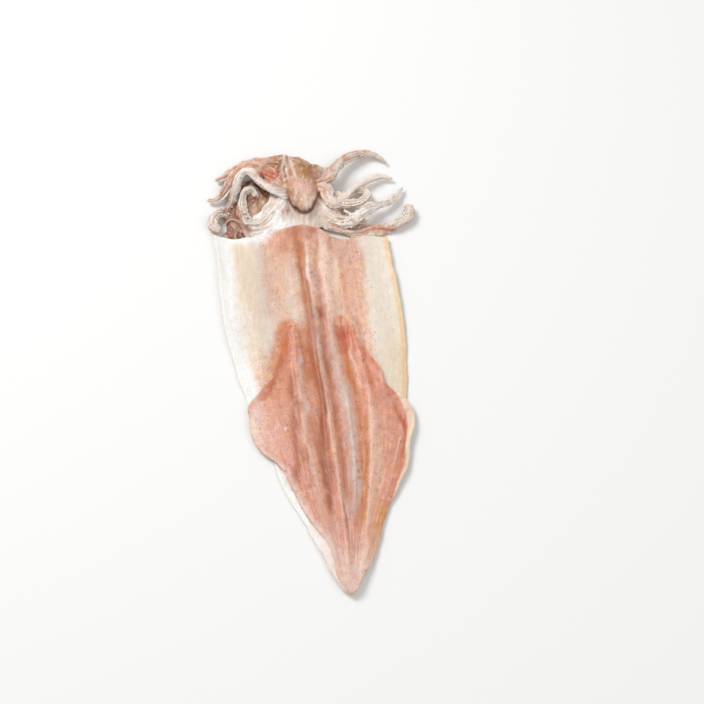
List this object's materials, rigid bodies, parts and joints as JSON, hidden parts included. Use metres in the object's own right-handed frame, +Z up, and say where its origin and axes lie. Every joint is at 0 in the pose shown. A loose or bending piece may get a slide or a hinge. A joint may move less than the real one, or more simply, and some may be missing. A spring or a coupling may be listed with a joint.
{
  "type": "dried squid",
  "caption": "Half-dried whole squid, slit along the belly and opened flat, skin side up, with pointed tail, arrowhead fins, small head and curled arms and tentacles.",
  "frame": {"origin": "middle of the base, on the surface that the squid lies on", "axes": "+Y from the tail to the head, +Z up out of the skin side, +X to the right seen from above with the head ahead"},
  "size_m": [0.1366, 0.3024, 0.018],
  "materials": {
    "skin": "satin, slightly moist, pink to orange-brown with fine brown speckles",
    "flesh": "satin, slightly moist, ivory to cream",
    "eyes": "glossy dark eyes in the head's sides"
  },
  "bodies": {
    "root": {"dried_squid": "skin"}
  },
  "joints": []
}
